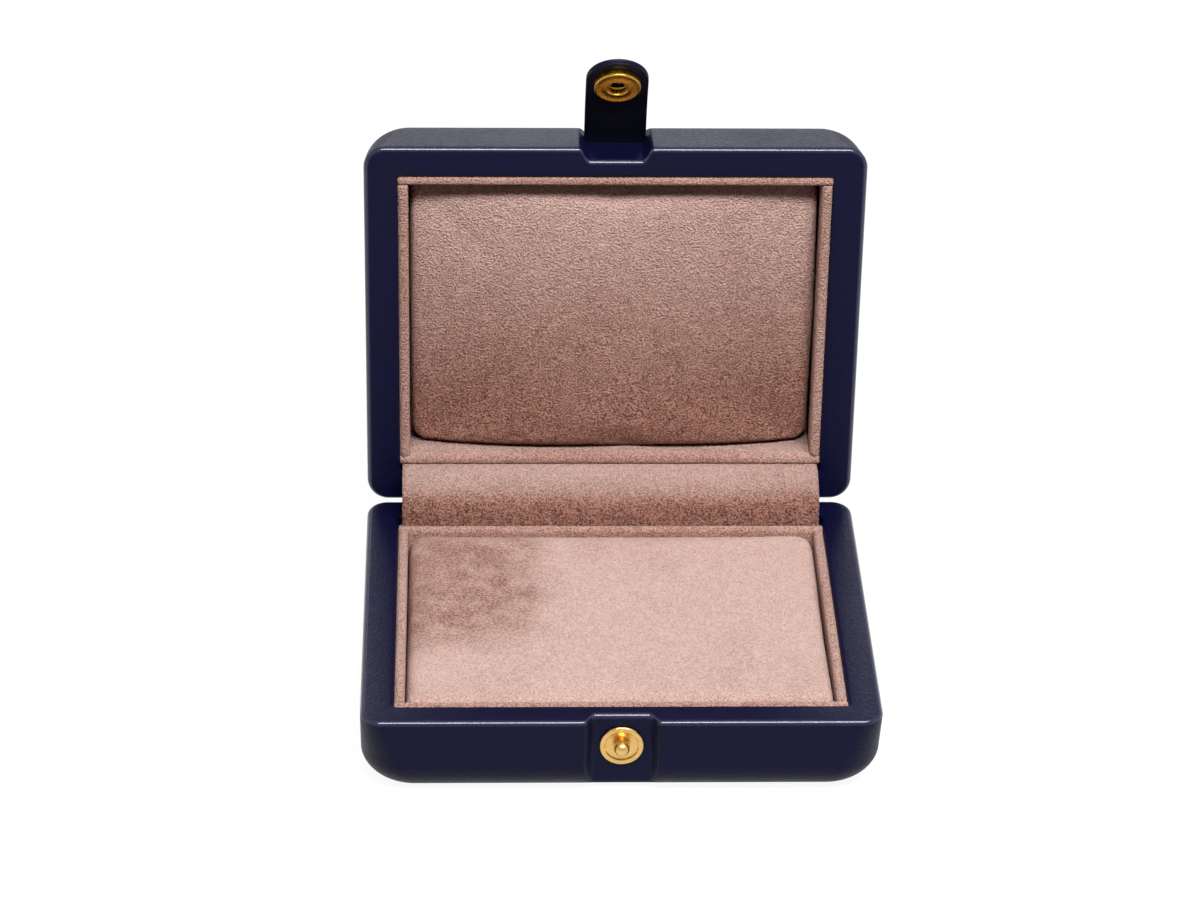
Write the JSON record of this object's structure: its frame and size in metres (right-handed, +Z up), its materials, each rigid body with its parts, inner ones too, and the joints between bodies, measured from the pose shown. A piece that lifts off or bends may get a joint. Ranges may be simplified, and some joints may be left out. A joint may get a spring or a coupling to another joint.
{
  "type": "gemstone case",
  "caption": "Flat hinged case covered in dark leather and lined with suede over soft pads, with a leather tab and a snap fastener, for holding and showing a cut gemstone.",
  "frame": {"origin": "centre of the base's underside, where the case stands", "axes": "+X across the case to the viewer's right, +Y from the tab side to the hinge side, +Z up"},
  "size_m": [0.12, 0.1165, 0.14],
  "materials": {
    "navy_leather": "fine-grained, slightly shiny dark navy leather",
    "pink_suede": "matt napped suede, dusty pink",
    "wood": "bare softwood, hidden",
    "card": "plain card, hidden",
    "foam": "soft foam, hidden",
    "hinge_brass": "plain brass, hidden",
    "gilt_metal": "polished gold-coloured plating"
  },
  "bodies": {
    "base": {"base_carcass": "wood", "base_leather": "navy_leather", "base_bottom_panel": "navy_leather", "base_liner_front": "pink_suede", "base_liner_back": "pink_suede", "base_liner_left": "pink_suede", "base_liner_right": "pink_suede", "base_liner_front_card": "card", "base_liner_back_card": "card", "base_liner_left_card": "card", "base_liner_right_card": "card", "base_pad_board": "card", "base_pad_foam": "foam", "base_pad_cover": "pink_suede", "base_hinge_packing": "card", "base_hinge_nails": "hinge_brass", "hinge_base_leaf": "hinge_brass", "hinge_pin": "hinge_brass", "hinge_strip": "pink_suede", "hinge_spine": "navy_leather", "snap_stud": "gilt_metal", "stud_rivet": "gilt_metal"},
    "lid": {"lid_carcass": "wood", "lid_leather": "navy_leather", "lid_liner_front": "pink_suede", "lid_liner_back": "pink_suede", "lid_liner_left": "pink_suede", "lid_liner_right": "pink_suede", "lid_liner_front_card": "card", "lid_liner_back_card": "card", "lid_liner_left_card": "card", "lid_liner_right_card": "card", "lid_pad_board": "card", "lid_pad_foam": "foam", "lid_pad_cover": "pink_suede", "lid_hinge_packing": "card", "lid_hinge_nails": "hinge_brass", "hinge_lid_leaf": "hinge_brass", "tab_anchor": "navy_leather", "tab_fold": "navy_leather"},
    "tab": {"tab_lining": "navy_leather", "tab_stiffener": "card", "tab_outer": "navy_leather", "snap_socket": "gilt_metal", "socket_spring": "gilt_metal", "snap_cap": "gilt_metal"}
  },
  "joints": [
    {"name": "lid_hinge", "type": "hinge", "parent": "base", "child": "lid", "pos_m": [0, 0.048, 0.0211], "axis": [1, 0, 0], "range_deg": [0, 92], "deforming": ["hinge_strip", "hinge_spine"]},
    {"name": "tab_flex", "type": "hinge", "parent": "lid", "child": "tab", "pos_m": [0, 0.06241, 0.11469], "axis": [1, 0, 0], "range_deg": [-50, 59.5], "deforming": ["tab_fold"]}
  ]
}
